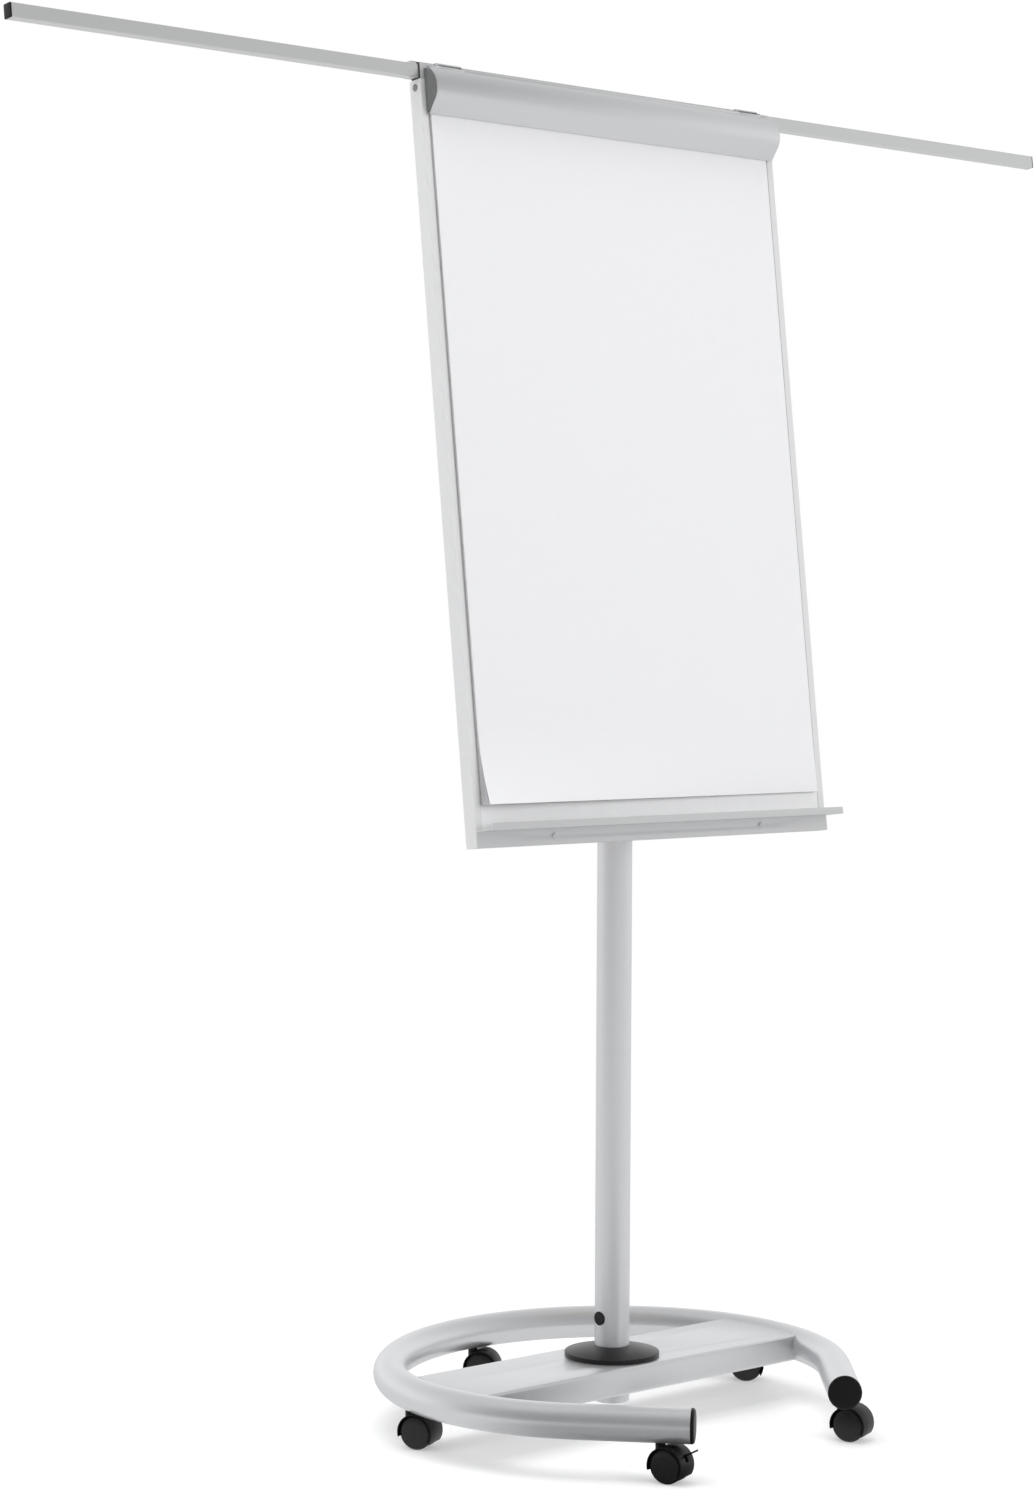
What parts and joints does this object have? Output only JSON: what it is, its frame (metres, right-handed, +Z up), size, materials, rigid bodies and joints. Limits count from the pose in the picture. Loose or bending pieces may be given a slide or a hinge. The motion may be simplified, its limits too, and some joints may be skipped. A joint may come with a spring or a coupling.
{
  "type": "mobile flipchart easel",
  "caption": "Mobile flipchart easel: a leaning board with a paper clamp, pen tray and pull-out side arms on a post above an open base ring on casters.",
  "frame": {"origin": "on the floor, on the vertical axis of the post", "axes": "+X to the right of someone who reads the board, -Y towards the reader, +Z up"},
  "size_m": [1.941, 0.6734, 1.9057],
  "materials": {
    "ring_paint": "silver-grey lacquer",
    "crossbar_paint": "silver-grey lacquer",
    "post_paint": "silver-grey lacquer",
    "column_steel": "polished steel tube",
    "carrier_steel": "black lacquer",
    "disc_black": "satin black lacquer",
    "black_plastic": "moulded, fine grain",
    "wheel_plastic": "smooth black",
    "grey_plastic": "moulded dark grey",
    "zinc_steel": "zinc plated",
    "frame_aluminium": "fine satin, natural anodised",
    "cover_aluminium": "satin anodised",
    "arm_aluminium": "satin anodised",
    "panel_enamel": "glossy white enamel",
    "core_board": "particle board",
    "paper": "plain white",
    "card": "grey board"
  },
  "bodies": {
    "base": {"base_ring": "ring_paint", "crossbar": "crossbar_paint", "post": "post_paint", "base_disc": "disc_black", "ring_end_caps": "black_plastic", "caster_sockets": "black_plastic", "post_plugs": "black_plastic", "post_bush": "black_plastic", "clamp_collar": "black_plastic", "caster_stems": "zinc_steel"},
    "clamp_screw": {"clamp_knob": "black_plastic", "clamp_stud": "zinc_steel"},
    "board": {"column": "column_steel", "column_slider": "black_plastic", "carrier": "carrier_steel", "carrier_bolts": "zinc_steel", "cross_rails": "frame_aluminium", "panel_core": "core_board", "panel_face": "panel_enamel", "stiles": "frame_aluminium", "stile_buttons": "grey_plastic", "lower_rail": "frame_aluminium", "tray": "frame_aluminium", "tray_screws": "zinc_steel", "header": "frame_aluminium", "arm_guides": "grey_plastic", "header_end_plugs": "grey_plastic", "hinge_plates": "frame_aluminium", "hinge_rod": "zinc_steel", "pad_hooks": "zinc_steel", "backing_card": "card", "paper_pad": "paper"},
    "cover": {"clamp_cover": "cover_aluminium", "cover_end_plates": "grey_plastic"},
    "left_arm_slide": {"left_arm": "arm_aluminium", "left_arm_plugs": "black_plastic"},
    "right_arm_slide": {"right_arm": "arm_aluminium", "right_arm_plugs": "black_plastic"},
    "back_caster": {"back_caster_housing": "black_plastic", "back_caster_axle": "zinc_steel"},
    "back_caster_left_wheel": {"back_caster_left_wheel": "wheel_plastic"},
    "back_caster_right_wheel": {"back_caster_right_wheel": "wheel_plastic"},
    "left_caster": {"left_caster_housing": "black_plastic", "left_caster_axle": "zinc_steel"},
    "left_caster_left_wheel": {"left_caster_left_wheel": "wheel_plastic"},
    "left_caster_right_wheel": {"left_caster_right_wheel": "wheel_plastic"},
    "right_caster": {"right_caster_housing": "black_plastic", "right_caster_axle": "zinc_steel"},
    "right_caster_left_wheel": {"right_caster_left_wheel": "wheel_plastic"},
    "right_caster_right_wheel": {"right_caster_right_wheel": "wheel_plastic"},
    "right_brake_lever": {"right_brake_lever": "black_plastic"},
    "front_left_caster": {"front_left_caster_housing": "black_plastic", "front_left_caster_axle": "zinc_steel"},
    "front_left_caster_left_wheel": {"front_left_caster_left_wheel": "wheel_plastic"},
    "front_left_caster_right_wheel": {"front_left_caster_right_wheel": "wheel_plastic"},
    "front_left_brake_lever": {"front_left_brake_lever": "black_plastic"},
    "front_right_caster": {"front_right_caster_housing": "black_plastic", "front_right_caster_axle": "zinc_steel"},
    "front_right_caster_left_wheel": {"front_right_caster_left_wheel": "wheel_plastic"},
    "front_right_caster_right_wheel": {"front_right_caster_right_wheel": "wheel_plastic"}
  },
  "joints": [
    {"name": "height", "type": "slide", "parent": "base", "child": "board", "axis": [0, 0, 1], "range_m": [-0.13, 0.2]},
    {"name": "clamp_screw_turn", "type": "hinge", "parent": "base", "child": "clamp_screw", "pos_m": [0, 0.037, 0.859], "axis": [0, 1, 0], "range_deg": [0, 360]},
    {"name": "cover_hinge", "type": "hinge", "parent": "board", "child": "cover", "pos_m": [0, 0.02635, 1.894], "axis": [-1, 0, 0], "range_deg": [0, 75]},
    {"name": "left_arm_pull", "type": "slide", "parent": "board", "child": "left_arm_slide", "axis": [-1, 0, 0], "range_m": [-0.632, 0]},
    {"name": "right_arm_pull", "type": "slide", "parent": "board", "child": "right_arm_slide", "axis": [1, 0, 0], "range_m": [-0.613, 0.019]},
    {"name": "back_swivel", "type": "hinge", "parent": "base", "child": "back_caster", "pos_m": [0, 0.3095, 0.0511], "axis": [0, 0, 1], "continuous": true},
    {"name": "back_caster_left_wheel_roll", "type": "hinge", "parent": "back_caster", "child": "back_caster_left_wheel", "pos_m": [0.00903, 0.29752, 0.024], "axis": [0.7986, 0.6018, 0], "continuous": true},
    {"name": "back_caster_right_wheel_roll", "type": "hinge", "parent": "back_caster", "child": "back_caster_right_wheel", "pos_m": [0.00903, 0.29752, 0.024], "axis": [0.7986, 0.6018, 0], "continuous": true},
    {"name": "left_swivel", "type": "hinge", "parent": "base", "child": "left_caster", "pos_m": [-0.31727, 0.06705, 0.0511], "axis": [0, 0, 1], "continuous": true},
    {"name": "left_caster_left_wheel_roll", "type": "hinge", "parent": "left_caster", "child": "left_caster_left_wheel", "pos_m": [-0.31093, 0.05346, 0.024], "axis": [0.9063, 0.4226, 0], "continuous": true},
    {"name": "left_caster_right_wheel_roll", "type": "hinge", "parent": "left_caster", "child": "left_caster_right_wheel", "pos_m": [-0.31093, 0.05346, 0.024], "axis": [0.9063, 0.4226, 0], "continuous": true},
    {"name": "right_swivel", "type": "hinge", "parent": "base", "child": "right_caster", "pos_m": [0.31727, 0.06705, 0.0511], "axis": [0, 0, 1], "continuous": true},
    {"name": "right_caster_left_wheel_roll", "type": "hinge", "parent": "right_caster", "child": "right_caster_left_wheel", "pos_m": [0.32824, 0.05682, 0.024], "axis": [0.682, 0.7314, 0], "continuous": true},
    {"name": "right_caster_right_wheel_roll", "type": "hinge", "parent": "right_caster", "child": "right_caster_right_wheel", "pos_m": [0.32824, 0.05682, 0.024], "axis": [0.682, 0.7314, 0], "continuous": true},
    {"name": "right_brake", "type": "hinge", "parent": "right_caster", "child": "right_brake_lever", "pos_m": [0.34007, 0.0458, 0.0349], "axis": [0.682, 0.7314, 0], "range_deg": [0, 20]},
    {"name": "front_left_swivel", "type": "hinge", "parent": "base", "child": "front_left_caster", "pos_m": [-0.175, -0.28708, 0.0511], "axis": [0, 0, 1], "continuous": true},
    {"name": "front_left_caster_left_wheel_roll", "type": "hinge", "parent": "front_left_caster", "child": "front_left_caster_left_wheel", "pos_m": [-0.17023, -0.3013, 0.024], "axis": [0.9483, 0.3173, 0], "continuous": true},
    {"name": "front_left_caster_right_wheel_roll", "type": "hinge", "parent": "front_left_caster", "child": "front_left_caster_right_wheel", "pos_m": [-0.17023, -0.3013, 0.024], "axis": [0.9483, 0.3173, 0], "continuous": true},
    {"name": "front_left_brake", "type": "hinge", "parent": "front_left_caster", "child": "front_left_brake_lever", "pos_m": [-0.16511, -0.31663, 0.0349], "axis": [0.9483, 0.3173, 0], "range_deg": [0, 20]},
    {"name": "front_right_swivel", "type": "hinge", "parent": "base", "child": "front_right_caster", "pos_m": [0.175, -0.28708, 0.0511], "axis": [0, 0, 1], "continuous": true},
    {"name": "front_right_caster_left_wheel_roll", "type": "hinge", "parent": "front_right_caster", "child": "front_right_caster_left_wheel", "pos_m": [0.18037, -0.30108, 0.024], "axis": [0.9336, 0.3584, 0], "continuous": true},
    {"name": "front_right_caster_right_wheel_roll", "type": "hinge", "parent": "front_right_caster", "child": "front_right_caster_right_wheel", "pos_m": [0.18037, -0.30108, 0.024], "axis": [0.9336, 0.3584, 0], "continuous": true}
  ]
}
